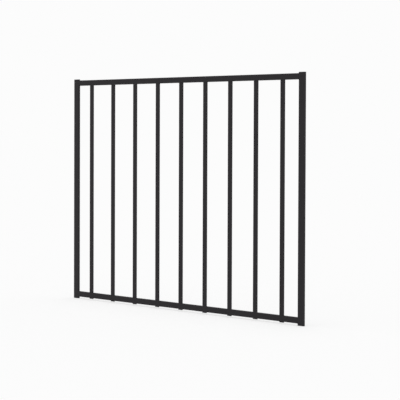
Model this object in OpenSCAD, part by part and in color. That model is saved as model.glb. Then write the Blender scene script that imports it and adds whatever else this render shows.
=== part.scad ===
// Welded steel garden fence panel: a frame of rectangular tube, two stiles that run
// past two punched rails, and upright flat bars that pass through the bottom rail and
// end inside the top rail. The stiles are closed by pressed-in plastic caps.
//
// The origin is the middle of the left stile's outer face, where the panel is fixed
// to a post. +X runs along the panel, +Z is up and -Y is the front.

/* [Panel] */
// Overall width, over both stiles
panel_w = 1200; // [900:10:2000]
// Overall height, over the caps of a stile
panel_h = 900; // [600:10:1800]

/* [Frame tube] */
// Width of a stile, seen from the front
stile_w = 26.5; // [20:0.5:40]
// Height of a rail, seen from the front
rail_h = 22; // [15:1:40]
// Depth of the stiles and rails, front to back
frame_d = 10; // [9:0.5:20]
// Wall of the frame tube
tube_wall = 1.5; // [1:0.1:2]
// Outside corner radius of the frame tube
tube_corner = 1.5; // [0.5:0.1:2.5]
// How far a stile rises above the top rail
stile_rise = 4.5; // [4:0.5:20]
// How far a stile reaches below the bottom rail
stile_drop = 7.5; // [6:0.5:60]

/* [Bars] */
// Number of upright bars
bar_count = 9; // [3:1:12]
// Width of a bar, seen from the front
bar_w = 19; // [10:0.5:25]
// Depth of a bar, front to back
bar_d = 5; // [3:0.5:6]
// Corner radius of a bar
bar_corner = 0.6; // [0.3:0.1:1.2]
// Clear space between a stile and the bar next to it
side_space = 66; // [20:1:120]
// How far a bar shows below the bottom rail
bar_drop = 3.5; // [3:0.5:6]

/* [Caps] */
// Thickness of a cap's head, which covers the tube's end
cap_head = 2; // [1:0.5:3]
// Length of a cap's plug inside the tube
cap_plug = 14; // [8:1:30]
// Wall of a cap's plug
cap_wall = 1.2; // [0.8:0.1:1.6]

/* [Fits and welds] */
// Gap round a bar in a punched slot
slot_gap = 0.2; // [0.1:0.05:0.5]
// Gap above a bar's end, under the top rail's upper wall
end_gap = 0.3; // [0.1:0.1:0.8]
// Gap between a cap's plug and the tube
plug_gap = 0.15; // [0.05:0.05:0.4]
// Leg of a weld between a rail and a stile
frame_weld = 2.5; // [2:0.5:4]
// Leg of a weld between a bar and a rail
bar_weld = 2; // [1.5:0.5:3]

/* [Hidden] */
BAR_NAMES = [for (i = [1:bar_count]) str("bar_", i)];

steel_black = "#333133";
cap_black = "#262526";
arc_fn = 32;

// Heights. The origin is at half the height of the panel.
top_z = panel_h / 2;
foot_z = -panel_h / 2;
top_rail_z = top_z - stile_rise - rail_h;
bottom_rail_z = foot_z + stile_drop;
bar_foot_z = bottom_rail_z - bar_drop;
bar_top_z = top_rail_z + rail_h - tube_wall - end_gap;

// Places along the panel. The bars stand evenly between the two end spaces.
left_x = stile_w / 2;
right_x = panel_w - stile_w / 2;
first_bar_x = stile_w + side_space + bar_w / 2;
bar_pitch = (panel_w - 2 * first_bar_x) / (bar_count - 1);
function bar_x(i) = first_bar_x + (i - 1) * bar_pitch;

// The frame's welds stay below the heads of the caps
frame_leg = min(frame_weld, stile_rise - cap_head);

// How far a cut runs past the face that it opens
cut = 1;

// Rectangle with round corners, centred. size is [along x, along y].
module round_rect(size, corner) {
    square([size.x, size.y - 2 * corner], center = true);
    square([size.x - 2 * corner, size.y], center = true);
    for (x = [-1, 1], y = [-1, 1])
        translate([x * (size.x / 2 - corner), y * (size.y / 2 - corner)])
            circle(r = corner, $fn = arc_fn);
}

// Rectangular tube section, with an inside radius of half the outside one
module tube_section(size, wall, corner) {
    difference() {
        round_rect(size, corner);
        round_rect(size - [2 * wall, 2 * wall], corner / 2);
    }
}

// Upright of the frame, which ends at the heads of its two caps
module stile(x) {
    color(steel_black)
        translate([x, 0, foot_z + cap_head])
            linear_extrude(panel_h - 2 * cap_head)
                tube_section([stile_w, frame_d], tube_wall, tube_corner);
}

// Rail butted between the stiles, with its underside at z. A slot for each bar is
// punched in its lower wall, and in its upper wall too where through is true.
module rail(z, through) {
    slot_w = bar_w + 2 * slot_gap;
    slot_d = bar_d + 2 * slot_gap;
    slot_h = through ? rail_h + 2 * cut : rail_h / 2 + cut;
    color(steel_black)
        difference() {
            translate([stile_w, 0, z + rail_h / 2])
                rotate([90, 0, 90])
                    linear_extrude(panel_w - 2 * stile_w)
                        tube_section([frame_d, rail_h], tube_wall, tube_corner);
            for (i = [1:bar_count])
                translate([bar_x(i) - slot_w / 2, -slot_d / 2, z - cut])
                    cube([slot_w, slot_d, slot_h]);
        }
}

// Solid flat bar, from below the bottom rail to just under the top rail's upper wall
module bar(i) {
    color(steel_black)
        translate([bar_x(i), 0, bar_foot_z])
            linear_extrude(bar_top_z - bar_foot_z)
                round_rect([bar_w, bar_d], bar_corner);
}

// Plastic cap with its outer face at z: a head as wide as the tube, and a hollow plug
// pressed into it. turn is 0 for a cap on top of a stile and 180 for one at its foot.
module cap(x, z, turn) {
    inset = 2 * (tube_wall + plug_gap);
    color(cap_black)
        translate([x, 0, z])
            rotate([turn, 0, 0]) {
                translate([0, 0, -cap_head])
                    linear_extrude(cap_head)
                        round_rect([stile_w, frame_d], tube_corner);
                translate([0, 0, -cap_head - cap_plug])
                    linear_extrude(cap_plug)
                        tube_section([stile_w - inset, frame_d - inset], cap_wall, tube_corner / 2);
            }
}

// Fillet weld that runs along Y in the corner at [x, z]. side and up are 1 or -1, and
// say which way the weld's legs point along X and Z.
module fillet(x, z, side, up, leg, length) {
    translate([x, 0, z])
        rotate([90, 0, 0])
            linear_extrude(length, center = true)
                polygon([[0, 0], [side * leg, 0], [0, up * leg]]);
}

// Above and below both ends of each rail, across the flat of the stile
module frame_welds() {
    length = frame_d - 2 * tube_corner;
    color(steel_black)
        for (z = [top_rail_z, bottom_rail_z], up = [-1, 1]) {
            face_z = up > 0 ? z + rail_h : z;
            fillet(stile_w, face_z, 1, up, frame_leg, length);
            fillet(panel_w - stile_w, face_z, -1, up, frame_leg, length);
        }
}

// On both edges of every bar, where it meets the face of a rail at height z
module bar_welds(z, up) {
    color(steel_black)
        for (i = [1:bar_count], side = [-1, 1])
            fillet(bar_x(i) + side * bar_w / 2, z, side, up, bar_weld, bar_d - 2 * bar_corner);
}

stile(left_x);  // left_stile
stile(right_x);  // right_stile
rail(top_rail_z, false);  // top_rail
rail(bottom_rail_z, true);  // bottom_rail
for (i = [1:bar_count])
    bar(i);
cap(left_x, top_z, 0);  // left_top_cap
cap(right_x, top_z, 0);  // right_top_cap
cap(left_x, foot_z, 180);  // left_foot_cap
cap(right_x, foot_z, 180);  // right_foot_cap
frame_welds();
bar_welds(top_rail_z, -1);  // top_rail_welds
bar_welds(bottom_rail_z + rail_h, 1);  // bottom_rail_upper_welds
bar_welds(bottom_rail_z, -1);  // bottom_rail_lower_welds
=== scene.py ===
"""Welded steel garden fence panel, ready to hang between two posts.

Two stiles, two rails and nine flat bars are welded up, powder coated near black and
closed at the stile ends with pressed-in plastic caps. Everything is in metres, in
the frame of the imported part: the origin is the middle of the left stile's outer
face, +X runs along the panel, +Z is up and -Y is the front.
"""

import math

import bmesh
import bpy
from mathutils import Matrix, Vector


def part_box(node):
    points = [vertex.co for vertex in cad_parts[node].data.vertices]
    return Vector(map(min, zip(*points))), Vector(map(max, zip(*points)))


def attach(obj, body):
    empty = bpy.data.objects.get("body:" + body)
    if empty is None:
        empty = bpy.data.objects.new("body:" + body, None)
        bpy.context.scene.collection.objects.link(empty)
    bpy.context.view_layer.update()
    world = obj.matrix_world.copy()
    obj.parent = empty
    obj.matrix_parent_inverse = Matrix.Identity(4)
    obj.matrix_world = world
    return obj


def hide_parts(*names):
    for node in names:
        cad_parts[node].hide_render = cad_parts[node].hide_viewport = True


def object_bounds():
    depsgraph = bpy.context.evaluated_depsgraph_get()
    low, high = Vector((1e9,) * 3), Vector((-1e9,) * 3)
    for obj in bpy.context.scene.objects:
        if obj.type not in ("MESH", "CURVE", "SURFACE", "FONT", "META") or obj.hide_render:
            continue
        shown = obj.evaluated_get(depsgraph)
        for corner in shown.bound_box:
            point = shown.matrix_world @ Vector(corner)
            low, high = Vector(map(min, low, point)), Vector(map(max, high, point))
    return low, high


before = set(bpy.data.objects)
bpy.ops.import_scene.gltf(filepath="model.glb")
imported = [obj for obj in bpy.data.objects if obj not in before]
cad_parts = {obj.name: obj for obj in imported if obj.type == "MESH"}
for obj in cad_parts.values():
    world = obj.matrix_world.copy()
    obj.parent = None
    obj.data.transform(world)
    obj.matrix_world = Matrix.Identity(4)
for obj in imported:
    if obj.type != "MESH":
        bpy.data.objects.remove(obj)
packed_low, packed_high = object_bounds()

MM = 0.001


# ---------------------------------------------------------------------------
# Camera
# A long lens a little above the middle of the panel, in front of it and well to
# its right, so that the bars close up towards the far left end. It looks nearly
# level and is shifted down instead, which keeps the uprights close to parallel.
# ---------------------------------------------------------------------------

CAMERA_PLACE = (4.1689, -3.8026, 0.2359)
CAMERA_LEFT = 0.73979  # radians, turned to the left of straight on
CAMERA_DOWN = 0.02052
CAMERA_TILT = 0.00358
SENSOR_WIDTH_MM = 36
FOCAL_LENGTH_MM = 122.7
LENS_SHIFT = -0.1  # of the sensor's width

lens = bpy.data.cameras.new("panel_camera")
lens.sensor_width = SENSOR_WIDTH_MM
lens.lens = FOCAL_LENGTH_MM
lens.shift_y = LENS_SHIFT
camera = bpy.data.objects.new("panel_camera", lens)
camera.matrix_world = (
    Matrix.Translation(CAMERA_PLACE)
    @ Matrix.Rotation(CAMERA_LEFT, 4, "Z")
    @ Matrix.Rotation(math.pi / 2 - CAMERA_DOWN, 4, "X")
    @ Matrix.Rotation(CAMERA_TILT, 4, "Z")
)
bpy.context.scene.collection.objects.link(camera)
bpy.context.scene.camera = camera


# ---------------------------------------------------------------------------
# Frame and bars
# Mild steel: two stiles and two punched rails of rectangular tube, and nine solid
# flat bars that pass through the bottom rail and end inside the top one. They are
# welded together, blasted clean and then powder coated in one piece.
# ---------------------------------------------------------------------------

BARS = sorted(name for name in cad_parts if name.startswith("bar_"))
STEEL_NODES = ["left_stile", "right_stile", "top_rail", "bottom_rail"] + BARS


def colour(hex_code):
    """Linear RGBA of an sRGB colour written as six hex digits."""
    parts = [int(hex_code[i : i + 2], 16) / 255 for i in (0, 2, 4)]
    return tuple(
        c / 12.92 if c <= 0.04045 else ((c + 0.055) / 1.055) ** 2.4 for c in parts
    ) + (1.0,)


def add(tree, kind, inputs=None, **settings):
    """Adds a node. An input is a value, or a node and its output to link it to."""
    made = tree.nodes.new("ShaderNode" + kind)
    for name, value in settings.items():
        setattr(made, name, value)
    for name, value in (inputs or {}).items():
        if isinstance(value, tuple) and isinstance(value[0], bpy.types.Node):
            tree.links.new(value[0].outputs[value[1]], made.inputs[name])
        else:
            made.inputs[name].default_value = value
    return made


# Polyester powder, sprayed on and stoved: an even satin near-black skin with a fine
# grain, a shallow orange peel and the faintest drift in gloss and tone. The grain's
# tops are painted lighter and its hollows darker, as painted highlight and shade.
POWDER_GRAIN = 0.8 * MM  # about 0.3 mm on the real coat, drawn coarser so it shows
POWDER_GRAIN_RISE = 0.07 * MM  # higher to match, which keeps the slopes of the grain
POWDER_PEEL = 5 * MM
POWDER_PEEL_RISE = 0.12 * MM
POWDER_DRIFT = 60 * MM
POWDER_DARK = colour("151315")
POWDER_LIGHT = colour("312E31")
POWDER_GRAIN_SHADE_SHARE = 0.6  # share of the colour that follows the grain as painted shade, and not the random drift
POWDER_ROUGH = (0.42, 0.52)
POWDER_SPECULAR = 0.17  # low, as the matting agent in the powder dulls its skin
NOISE_SPAN = (0.3, 0.7)  # where nearly all the values of a noise pattern lie

powder_coat = bpy.data.materials.new("satin_powder_coat")
powder_coat.use_nodes = True
tree = powder_coat.node_tree
tree.nodes.clear()
place = add(tree, "TexCoord")
drift = add(
    tree,
    "TexNoise",
    {"Vector": (place, "Object"), "Scale": 1 / POWDER_DRIFT, "Detail": 3.0},
)
gloss = add(
    tree,
    "MapRange",
    {
        "Value": (drift, "Fac"),
        "From Min": NOISE_SPAN[0],
        "From Max": NOISE_SPAN[1],
        "To Min": POWDER_ROUGH[0],
        "To Max": POWDER_ROUGH[1],
    },
)
peel = add(
    tree,
    "TexNoise",
    {"Vector": (place, "Object"), "Scale": 1 / POWDER_PEEL, "Detail": 1.0},
)
peel_bump = add(
    tree,
    "Bump",
    {"Height": (peel, "Fac"), "Strength": 1.0, "Distance": POWDER_PEEL_RISE},
)
grain = add(
    tree,
    "TexNoise",
    {"Vector": (place, "Object"), "Scale": 1 / POWDER_GRAIN, "Detail": 2.0},
)
grain_bump = add(
    tree,
    "Bump",
    {
        "Height": (grain, "Fac"),
        "Strength": 1.0,
        "Distance": POWDER_GRAIN_RISE,
        "Normal": (peel_bump, "Normal"),
    },
)
# Painted shade on the grain, lighter on its tops, mixed with the coat's random drift in
# tone
drift_and_grain_shade = add(  # inputs 2 and 3 are the two numbers
    tree,
    "Mix",
    {0: POWDER_GRAIN_SHADE_SHARE, 2: (drift, "Fac"), 3: (grain, "Fac")},
)
shade = add(  # inputs 6 and 7 are the two colours, output 2 the mixed one
    tree,
    "Mix",
    {0: (drift_and_grain_shade, 0), 6: POWDER_DARK, 7: POWDER_LIGHT},
    data_type="RGBA",
)
coat = add(
    tree,
    "BsdfPrincipled",
    {
        "Base Color": (shade, 2),
        "Roughness": (gloss, "Result"),
        "Specular IOR Level": POWDER_SPECULAR,
        "Normal": (grain_bump, "Normal"),
    },
)
add(tree, "OutputMaterial", {"Surface": (coat, "BSDF")})

for name in STEEL_NODES:
    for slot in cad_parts[name].material_slots:
        slot.material = powder_coat


# ---------------------------------------------------------------------------
# Stile caps
# A ribbed plug of black polyethylene, injection moulded, is knocked into each open
# end of the two stiles. Its low crowned head covers the wall of the tube.
# ---------------------------------------------------------------------------

TUBE_CORNER = 1.5 * MM
CAP_EDGE = 0.4 * MM  # rounding of the head's outer edge
CAP_SEAM = 0.15 * MM  # rounding under the head, which leaves a fine line at the tube
CAP_CROWN = 0.25 * MM
CROWN_STEPS = ((1.0 * MM, 0.3), (2.4 * MM, 0.45), (4.0 * MM, 0.25))  # in, share of rise
PLUG_INSET = 1.65 * MM
PLUG_WALL = 1.2 * MM
PLUG_RIB = 0.1 * MM
PLUG_RIBS = 3
PLUG_TAPER = 0.5 * MM
PLUG_ROOF = 0.2 * MM  # from the head's underside down to the top of the hollow
NEAR = 0.01 * MM  # points closer than this lie at the same height or place
LOOKS_UP = 0.9  # normal.z of a face that looks up, at the least
LOOKS_SIDEWAYS = 0.1  # and of a face that looks to a side, at the most
ORDER_FROM = (-0.3137, -0.1713, -0.7391)  # off every plane of symmetry of a piece


def fresh(name, material, add_primitive, place, size):
    """A new object of one primitive, with nothing else selected, in edit mode."""
    bpy.ops.object.select_all(action="DESELECT")
    add_primitive(size=1, location=place)
    made = bpy.context.object
    made.scale = size
    made.name = made.data.name = name
    made.data.materials.append(material)
    bpy.ops.object.transform_apply(location=True, rotation=True, scale=True)
    bpy.ops.object.mode_set(mode="EDIT")
    return made


def pick(made, kind, test):
    """Selects only the vertices, edges or faces of the edited mesh that pass."""
    bpy.ops.mesh.select_mode(type=kind)
    bpy.ops.mesh.select_all(action="DESELECT")
    shape = bmesh.from_edit_mesh(made.data)
    for item in {"VERT": shape.verts, "EDGE": shape.edges, "FACE": shape.faces}[kind]:
        if test(item):
            item.select_set(True)
    shape.select_flush_mode()
    bmesh.update_edit_mesh(made.data)


def in_order():
    """Sorts the edited mesh by its distance from one point, because a bevel or a bridge
    leaves new vertices and faces in an order that changes from run to run."""
    bpy.context.scene.cursor.location = ORDER_FROM
    bpy.ops.mesh.select_all(action="SELECT")
    bpy.ops.mesh.sort_elements(
        type="CURSOR_DISTANCE", elements={"VERT", "EDGE", "FACE"}
    )


def push(made, along, width, depth):
    """Extrudes the selected end along Z and brings it to this width and depth."""
    bpy.ops.mesh.extrude_region_move(TRANSFORM_OT_translate={"value": (0, 0, along)})
    ends = [v.co for v in bmesh.from_edit_mesh(made.data).verts if v.select]
    low = Vector([min(end[i] for end in ends) for i in range(3)])
    high = Vector([max(end[i] for end in ends) for i in range(3)])
    bpy.ops.transform.resize(
        value=(width / (high.x - low.x), depth / (high.y - low.y), 1),
        center_override=(low + high) / 2,
    )


def finish_shape(smooth_deg=40):
    """Leaves edit mode with the faces turned outwards and the soft edges smooth."""
    bpy.ops.mesh.select_mode(type="VERT")
    bpy.ops.mesh.select_all(action="SELECT")
    bpy.ops.mesh.remove_doubles(threshold=NEAR / 10)
    bpy.ops.mesh.normals_make_consistent(inside=False)
    bpy.ops.object.mode_set(mode="OBJECT")
    bpy.ops.object.shade_smooth_by_angle(angle=math.radians(smooth_deg))


def copy_to(made, name, change):
    """A copy with its own mesh, placed by a matrix. Mirrored meshes are turned back."""
    other = made.copy()
    other.data = made.data.copy()
    other.name = other.data.name = name
    other.data.transform(change)
    if change.determinant() < 0:
        other.data.flip_normals()
    bpy.context.scene.collection.objects.link(other)
    return other


def mirror(axis, at):
    """The matrix that mirrors in the plane across one axis at a place on it."""
    there = Vector([at if i == axis else 0 for i in range(3)])
    flip = Matrix.Scale(-1, 4, Vector([i == axis for i in range(3)]))
    return Matrix.Translation(there) @ flip @ Matrix.Translation(-there)


# Low-density polyethylene: moulded with a fine even matt, a touch duller than the coat
PLASTIC_GRAIN = 1.0 * MM  # spark-eroded mould, about 0.1 mm, drawn coarser
PLASTIC_GRAIN_RISE = 0.06 * MM
PLASTIC_DARK = colour("1C1B1C")
PLASTIC_LIGHT = colour("232123")
PLASTIC_ROUGH = (0.5, 0.6)
PLASTIC_IOR = 1.5
PLASTIC_SPECULAR = 0.18

moulded_plastic = bpy.data.materials.new("moulded_polyethylene")
moulded_plastic.use_nodes = True
tree = moulded_plastic.node_tree
tree.nodes.clear()
place = add(tree, "TexCoord")
grain = add(
    tree,
    "TexNoise",
    {"Vector": (place, "Object"), "Scale": 1 / PLASTIC_GRAIN, "Detail": 2.0},
)
# Painted shade: the colour follows the grain's height, lighter on its tops and darker in
# its hollows
shade = add(
    tree,
    "Mix",
    {0: (grain, "Fac"), 6: PLASTIC_DARK, 7: PLASTIC_LIGHT},
    data_type="RGBA",
)
dull = add(
    tree,
    "MapRange",
    {
        "Value": (grain, "Fac"),
        "To Min": PLASTIC_ROUGH[0],
        "To Max": PLASTIC_ROUGH[1],
    },
)
grain_bump = add(
    tree,
    "Bump",
    {"Height": (grain, "Fac"), "Strength": 1.0, "Distance": PLASTIC_GRAIN_RISE},
)
plastic = add(
    tree,
    "BsdfPrincipled",
    {
        "Base Color": (shade, 2),
        "Roughness": (dull, "Result"),
        "IOR": PLASTIC_IOR,
        "Specular IOR Level": PLASTIC_SPECULAR,
        "Normal": (grain_bump, "Normal"),
    },
)
add(tree, "OutputMaterial", {"Surface": (plastic, "BSDF")})

stile_low, stile_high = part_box("left_stile")
cap_low, cap_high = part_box("left_top_cap")
head_z = stile_high.z
head_size = Vector(
    (cap_high.x - cap_low.x, cap_high.y - cap_low.y, cap_high.z - head_z - CAP_CROWN)
)
head_place = Vector((stile_low.x + head_size.x / 2, 0, head_z + head_size.z / 2))

top_cap = fresh(
    "left_top_stile_cap",
    moulded_plastic,
    bpy.ops.mesh.primitive_cube_add,
    head_place,
    head_size,
)
rim_z = head_z + head_size.z

# The head's upright corners, as round as the tube's
pick(top_cap, "EDGE", lambda e: abs(e.verts[0].co.z - e.verts[1].co.z) > MM)
bpy.ops.mesh.bevel(offset=TUBE_CORNER, segments=6, affect="EDGES")
in_order()

# The crown, in shallow steps that the shading runs together
pick(top_cap, "FACE", lambda f: f.normal.z > LOOKS_UP)
for step_in, share in CROWN_STEPS:
    inner_x, inner_y = head_size.x - 2 * step_in, head_size.y - 2 * step_in
    push(top_cap, share * CAP_CROWN, inner_x, inner_y)

# The plug: a collar one step long, grip ribs and a tapered lead-in of a step and a
# half each, and then its hollow
plug_x, plug_y = head_size.x - 2 * PLUG_INSET, head_size.y - 2 * PLUG_INSET
rib_x, rib_y = plug_x + 2 * PLUG_RIB, plug_y + 2 * PLUG_RIB
hollow_x, hollow_y = plug_x - 2 * PLUG_WALL, plug_y - 2 * PLUG_WALL
plug_length = head_z - cap_low.z
rib_step = plug_length / (1 + 1.5 * PLUG_RIBS + 1.5)
pick(top_cap, "FACE", lambda f: f.normal.z < -LOOKS_UP)
push(top_cap, 0, plug_x, plug_y)
push(top_cap, -rib_step, plug_x, plug_y)
for rib in range(PLUG_RIBS):
    push(top_cap, -rib_step / 2, plug_x, plug_y)
    push(top_cap, 0, rib_x, rib_y)
    push(top_cap, -rib_step / 3, rib_x, rib_y)
    push(top_cap, -rib_step * 2 / 3, plug_x, plug_y)
push(top_cap, -rib_step * 1.5, plug_x - 2 * PLUG_TAPER, plug_y - 2 * PLUG_TAPER)
push(top_cap, 0, hollow_x, hollow_y)
push(top_cap, plug_length - PLUG_ROOF, hollow_x, hollow_y)


def on_rim(e, at_z):
    """Whether an edge lies at this height and bounds the outer side of the head."""
    return all(abs(v.co.z - at_z) < NEAR for v in e.verts) and any(
        abs(f.normal.z) < LOOKS_SIDEWAYS and f.calc_center_median().z > head_z
        for f in e.link_faces
    )


for at_z, rounding, steps in ((rim_z, CAP_EDGE, 4), (head_z, CAP_SEAM, 2)):
    pick(top_cap, "EDGE", lambda e: on_rim(e, at_z))
    bpy.ops.mesh.bevel(offset=rounding, segments=steps, affect="EDGES")
    in_order()
finish_shape(smooth_deg=30)

other_end = Matrix.Translation((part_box("right_stile")[0].x - stile_low.x, 0, 0))
upside_down = mirror(2, (stile_low.z + stile_high.z) / 2)
caps = {
    "left_top_cap": top_cap,
    "right_top_cap": copy_to(top_cap, "right_top_stile_cap", other_end),
    "left_foot_cap": copy_to(top_cap, "left_foot_stile_cap", upside_down),
    "right_foot_cap": copy_to(top_cap, "right_foot_stile_cap", other_end @ upside_down),
}
for node, made in caps.items():
    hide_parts(node)
    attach(made, "root")


# ---------------------------------------------------------------------------
# Frame welds
# MIG fillets of mild steel, laid across the stile above and below each rail's end and
# left as welded. The groove at the front and back, which the stile's round corner
# leaves, is filled and dressed just under flush, before the coat goes over all.
# ---------------------------------------------------------------------------

FILLET_LEG = 2.4 * MM
FILLET_BULGE = 0.14  # of the leg, along X and along Z
FILLET_DIP = 0.07  # of the leg, between two ripples
BURIED = 0.3 * MM  # how far a bead reaches into the metal that it joins
RIPPLE = 1.3 * MM  # spacing of the ripples that each weave of the torch leaves
SEAM_REACH = 1.3 * MM  # onto the stile's round corner
SEAM_END = 0.5 * MM  # bare groove above and below the seam
SEAM_UNDER = 0.06 * MM  # the dressed face, under the face of the rail
SEAM_DIP = 0.12 * MM

top_low, top_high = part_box("top_rail")
bottom_low, bottom_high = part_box("bottom_rail")


def cut_across(axis, places):
    """Cuts the whole edited mesh by planes across one axis."""
    for at in places:
        bpy.ops.mesh.select_all(action="SELECT")
        bpy.ops.mesh.bisect(
            plane_co=[at if i == axis else 0 for i in range(3)],
            plane_no=[float(i == axis) for i in range(3)],
        )


def soften(made, levels):
    """Rounds the mesh with an applied subdivision surface."""
    rounding = made.modifiers.new("rounding", "SUBSURF")
    rounding.levels = rounding.render_levels = levels
    bpy.context.view_layer.objects.active = made
    bpy.ops.object.modifier_apply(modifier=rounding.name)
    bpy.ops.object.shade_smooth()


# The fillet in the corner over the left end of the top rail
corner = Vector((top_low.x - BURIED, 0, top_high.z - BURIED))
leg = FILLET_LEG + BURIED
half_run = top_high.y - TUBE_CORNER
fillet = fresh(
    "fillet",
    powder_coat,
    bpy.ops.mesh.primitive_cube_add,
    (corner.x + leg / 2, 0, corner.z + leg / 2),
    (leg, 2 * half_run, leg),
)

# The outer half is cut off along the slope, and the rest is cut up the middle of it
bpy.ops.mesh.select_all(action="SELECT")
bpy.ops.mesh.bisect(
    plane_co=(corner.x + leg, 0, corner.z),
    plane_no=(1, 0, 1),
    clear_outer=True,
    use_fill=True,
)
bpy.ops.mesh.select_all(action="SELECT")
bpy.ops.mesh.bisect(plane_co=corner, plane_no=(1, 0, -1))
ripples = round(2 * half_run / RIPPLE)
cut_across(1, [half_run * (i / ripples - 1) for i in range(1, 2 * ripples)])


def on_slope(v):
    """Whether a vertex lies on the fillet's sloping face."""
    return (v.co - corner).dot(Vector((1, 0, 1))) > leg - NEAR


def mid_slope(v):
    """Whether a vertex lies halfway up that face."""
    across = v.co - corner
    return on_slope(v) and abs(across.x - across.z) < NEAR


def in_dip(v):
    """Whether a vertex lies on that face between two ripples."""
    half_ripples = round((v.co.y / half_run + 1) * ripples)
    return on_slope(v) and half_ripples % 2 == 0


pick(fillet, "VERT", mid_slope)
bpy.ops.transform.translate(value=(FILLET_BULGE * leg, 0, FILLET_BULGE * leg))
pick(fillet, "VERT", in_dip)
bpy.ops.transform.translate(value=(-FILLET_DIP * leg, 0, -FILLET_DIP * leg))
finish_shape()
soften(fillet, 2)

# The groove at the front, beside the left end of the top rail
groove_low = top_low + Vector((-SEAM_REACH, SEAM_UNDER, SEAM_END))
groove_high = Vector((top_low.x + BURIED, top_low.y + TUBE_CORNER, top_high.z - SEAM_END))
seam = fresh(
    "seam",
    powder_coat,
    bpy.ops.mesh.primitive_cube_add,
    (groove_low + groove_high) / 2,
    groove_high - groove_low,
)
seam_ripples = round((groove_high.z - groove_low.z) / RIPPLE)
seam_step = (groove_high.z - groove_low.z) / (2 * seam_ripples)
cut_across(2, [groove_low.z + seam_step * i for i in range(1, 2 * seam_ripples)])
cut_across(0, [(groove_low.x + groove_high.x) / 2])
pick(
    seam,
    "VERT",
    lambda v: v.co.y < groove_low.y + NEAR
    and round((v.co.z - groove_low.z) / seam_step) % 2 == 0,
)
bpy.ops.transform.translate(value=(0, SEAM_DIP, 0))
finish_shape()
soften(seam, 1)

rail_middle = mirror(2, (top_low.z + top_high.z) / 2)
to_bottom_rail = Matrix.Translation((0, 0, bottom_low.z - top_low.z))
to_right = mirror(0, (packed_low.x + packed_high.x) / 2)
to_back = mirror(1, 0)
joint = [fillet, seam]
joint.append(copy_to(fillet, "fillet_below", rail_middle))
joint.append(copy_to(seam, "seam_back", to_back))
beads = list(joint)
for change in (to_bottom_rail, to_right, to_right @ to_bottom_rail):
    beads += [copy_to(part, part.name + "_copy", change) for part in joint]


def joined(parts, name):
    """All the parts as one object."""
    bpy.ops.object.select_all(action="DESELECT")
    for part in parts:
        part.select_set(True)
    bpy.context.view_layer.objects.active = parts[0]
    bpy.ops.object.join()
    parts[0].name = parts[0].data.name = name
    return parts[0]


frame_beads = joined(beads, "frame_weld_beads")
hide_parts("frame_welds")
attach(frame_beads, "root")


# ---------------------------------------------------------------------------
# Bar welds
# A small MIG bead runs all the way round each flat bar where it enters the top
# rail, and where it enters and leaves the bottom one. It is widest at the bar's two
# edges, and it is left rippled as the torch laid it, under the same coat.
# ---------------------------------------------------------------------------

BEAD_SIDE = 2.0 * MM  # leg along the rail, at the edges of the bar
BEAD_FRONT = 1.0 * MM  # leg across the rail, at the front and back of the bar
BEAD_RISE = 1.9 * MM  # leg along the bar
BEAD_HOLLOW = -0.18  # profile of the bead's face, a little hollow between its legs
BEAD_DIP = 0.16 * MM
BEAD_FOOT = 0.4 * MM  # the part of the bead next to the rail, which has no ripples
BAR_CORNER = 0.6 * MM
BAR_RIPPLE = 1.45 * MM

bar_low, bar_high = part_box("bar_1")
bar_size = bar_high - bar_low
bar_x = (bar_low.x + bar_high.x) / 2
inner = Vector((bar_size.x / 2 - BURIED, bar_size.y / 2 - BURIED))
foot_z = bottom_high.z - BURIED

# The bar's own outline, as a ring of edges with one point to each half ripple
collar = fresh(
    "collar",
    powder_coat,
    bpy.ops.mesh.primitive_plane_add,
    (bar_x, 0, foot_z),
    (2 * inner.x, 2 * inner.y, 1),
)
bpy.ops.mesh.select_all(action="SELECT")
bpy.ops.mesh.bevel(offset=BAR_CORNER, segments=2, affect="VERTICES")
in_order()
halves = 2 * round(inner.x / BAR_RIPPLE)
half_ripple = inner.x / halves
cut_across(0, [bar_x + half_ripple * i for i in range(1 - halves, halves)])
cut_across(1, [-inner.y / 3, inner.y / 3])
pick(collar, "EDGE", lambda e: len(e.link_faces) == 2)
bpy.ops.mesh.delete(type="EDGE")
pick(collar, "FACE", lambda f: True)
bpy.ops.mesh.delete(type="ONLY_FACE")

# Out along the rail, up along the bar, and the bead's face bridged between the two
bpy.ops.mesh.select_mode(type="EDGE")
bpy.ops.mesh.select_all(action="SELECT")
bpy.ops.mesh.extrude_edges_move()
bpy.ops.transform.resize(
    value=(
        (bar_size.x / 2 + BEAD_SIDE) / inner.x,
        (bar_size.y / 2 + BEAD_FRONT) / inner.y,
        1,
    ),
    center_override=(bar_x, 0, foot_z),
)


def outside(v):
    """Whether a vertex lies outside the ring that the bead started from."""
    return abs(v.co.x - bar_x) > inner.x + NEAR or abs(v.co.y) > inner.y + NEAR


pick(collar, "VERT", lambda v: not outside(v))
bpy.ops.mesh.select_mode(type="EDGE")
bpy.ops.mesh.extrude_edges_move(
    TRANSFORM_OT_translate={"value": (0, 0, BEAD_RISE + BURIED)}
)
pick(collar, "EDGE", lambda e: len(e.link_faces) == 1)
bpy.ops.mesh.bridge_edge_loops(
    number_cuts=3, profile_shape="SPHERE", profile_shape_factor=BEAD_HOLLOW
)
in_order()


def between_ripples(v):
    """Whether a vertex lies in one of every second column of the bead's face."""
    if v.co.z < foot_z + BEAD_FOOT or not outside(v):
        return False
    if abs(v.co.x - bar_x) > inner.x:
        return abs(v.co.y) < inner.y / 2
    return round((v.co.x - bar_x) / half_ripple) % 2 == 1


pick(collar, "VERT", between_ripples)
bpy.ops.transform.shrink_fatten(value=-BEAD_DIP)
finish_shape()
soften(collar, 1)

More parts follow.
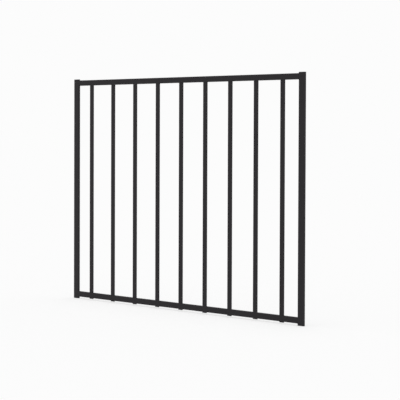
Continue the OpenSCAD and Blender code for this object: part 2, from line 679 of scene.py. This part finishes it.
under = mirror(2, (bottom_low.z + bottom_high.z) / 2)
rows = {
    "bottom_rail_upper_welds": Matrix.Identity(4),
    "bottom_rail_lower_welds": under,
    "top_rail_welds": Matrix.Translation((0, 0, top_low.z - bottom_low.z)) @ under,
}
for node, to_row in rows.items():
    row = []
    for bar in BARS:
        low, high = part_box(bar)
        along = Matrix.Translation(((low.x + high.x) / 2 - bar_x, 0, 0))
        row.append(copy_to(collar, bar + "_bead", along @ to_row))
    row_beads = joined(row, node.replace("welds", "weld_beads"))
    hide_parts(node)
    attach(row_beads, "root")
bpy.data.objects.remove(collar)


# ---------------------------------------------------------------------------
# Studio
# A plain pale floor at the panel's feet, and a sky and a broad high lamp that together
# light a plain surface at its own colour. The lamp stands to the left and a little
# behind, and the floor glows enough to keep the soft shadow at the feet faint.
# ---------------------------------------------------------------------------

FLOOR_TONE = colour("FCFCFC")
FLOOR_SIDE = 400  # metres, so that its far edge looks level with the horizon
FLOOR_GLOW = 0.6  # how much of the floor's shadow the camera doesn't see
SKY_SHARE = 0.62  # of all the light that falls on the floor; the lamp gives the rest
LAMP_HEIGHT_DEG = 84
LAMP_TURN_DEG = 75
LAMP_SIZE_DEG = 30


def direct(tree):
    """A node that is 1 where an eye, a gloss or a clear surface looks, and else 0."""
    ray = add(tree, "LightPath")
    seen = add(
        tree,
        "Math",
        {0: (ray, "Is Camera Ray"), 1: (ray, "Is Glossy Ray")},
        operation="MAXIMUM",
    )
    return add(
        tree, "Math", {0: (seen, 0), 1: (ray, "Is Transmission Ray")}, operation="MAXIMUM"
    )


floor = fresh(
    "floor",
    bpy.data.materials.new("pale_floor"),
    bpy.ops.mesh.primitive_plane_add,
    (0, 0, packed_low.z),
    (FLOOR_SIDE, FLOOR_SIDE, 1),
)
bpy.ops.object.mode_set(mode="OBJECT")
floor.active_material.use_nodes = True
tree = floor.active_material.node_tree
tree.nodes.clear()
glow_share = add(tree, "MapRange", {"Value": (direct(tree), 0), "To Max": FLOOR_GLOW})
matt = add(tree, "BsdfDiffuse", {"Color": FLOOR_TONE})
glow = add(tree, "Emission", {"Color": FLOOR_TONE, "Strength": 1.0})
surface = add(
    tree,
    "MixShader",
    {0: (glow_share, "Result"), 1: (matt, "BSDF"), 2: (glow, "Emission")},
)
add(tree, "OutputMaterial", {"Surface": (surface, "Shader")})

sky = bpy.data.worlds.new("sky")
bpy.context.scene.world = sky
sky.use_nodes = True
tree = sky.node_tree
tree.nodes.clear()
strength = add(
    tree, "MapRange", {"Value": (direct(tree), 0), "To Min": SKY_SHARE, "To Max": 1.0}
)
light = add(
    tree, "Background", {"Color": FLOOR_TONE, "Strength": (strength, "Result")}
)
add(tree, "OutputWorld", {"Surface": (light, "Background")})

lamp_light = bpy.data.lights.new("broad_lamp", "SUN")
lamp_light.angle = math.radians(LAMP_SIZE_DEG)
lamp_share = 1 - SKY_SHARE * FLOOR_TONE[0]

# A sun of strength pi lights a white surface square to it at 1
lamp_light.energy = math.pi * lamp_share / math.sin(math.radians(LAMP_HEIGHT_DEG))
lamp = bpy.data.objects.new("broad_lamp", lamp_light)
bpy.context.scene.collection.objects.link(lamp)
lamp.rotation_euler = (
    math.radians(90 - LAMP_HEIGHT_DEG),
    0,
    math.radians(180 + LAMP_TURN_DEG),
)

bpy.context.scene.view_settings.view_transform = "Standard"
